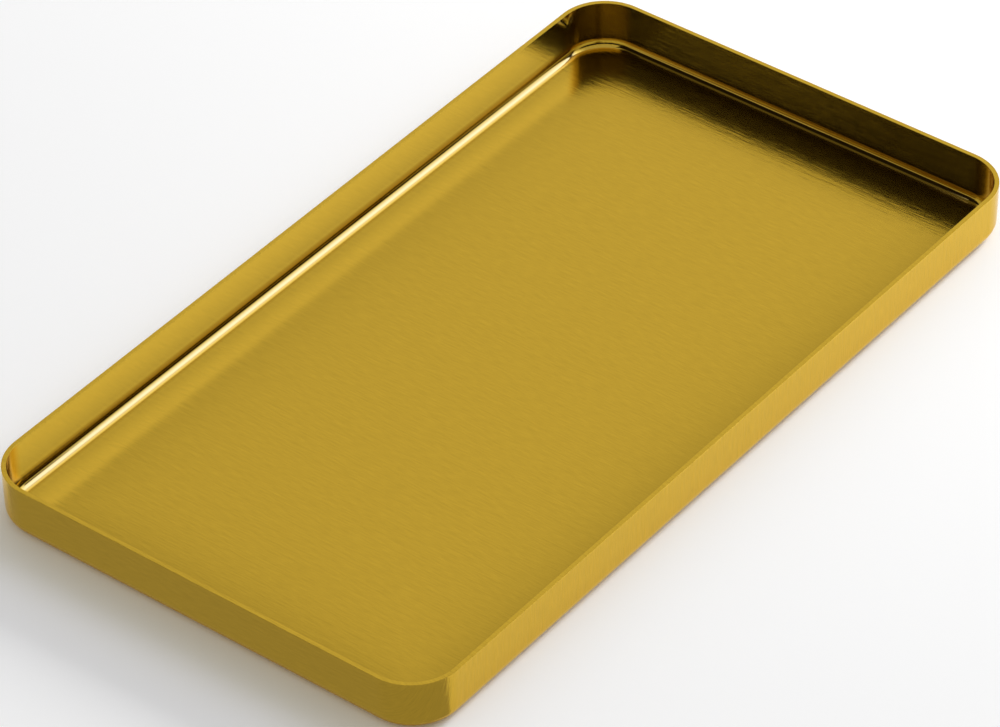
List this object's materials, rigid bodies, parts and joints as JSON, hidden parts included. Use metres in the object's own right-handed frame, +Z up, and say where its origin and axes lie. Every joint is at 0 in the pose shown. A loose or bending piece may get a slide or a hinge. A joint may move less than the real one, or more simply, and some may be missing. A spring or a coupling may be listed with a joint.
{
  "type": "dental instrument tray",
  "caption": "Shallow rectangular metal tray with rounded corners and low drawn walls, in a brushed gold finish, for laying out hand instruments.",
  "frame": {"origin": "on the underside, below the middle of the floor", "axes": "+X along the length, +Y along the width, +Z up out of the open top"},
  "size_m": [0.2, 0.11, 0.012],
  "materials": {
    "gold_sheet": "gold-toned coating on brushed stainless sheet: grained floor and rim, smooth burnished walls and corners"
  },
  "bodies": {
    "root": {"tray_pan": "gold_sheet"}
  },
  "joints": []
}
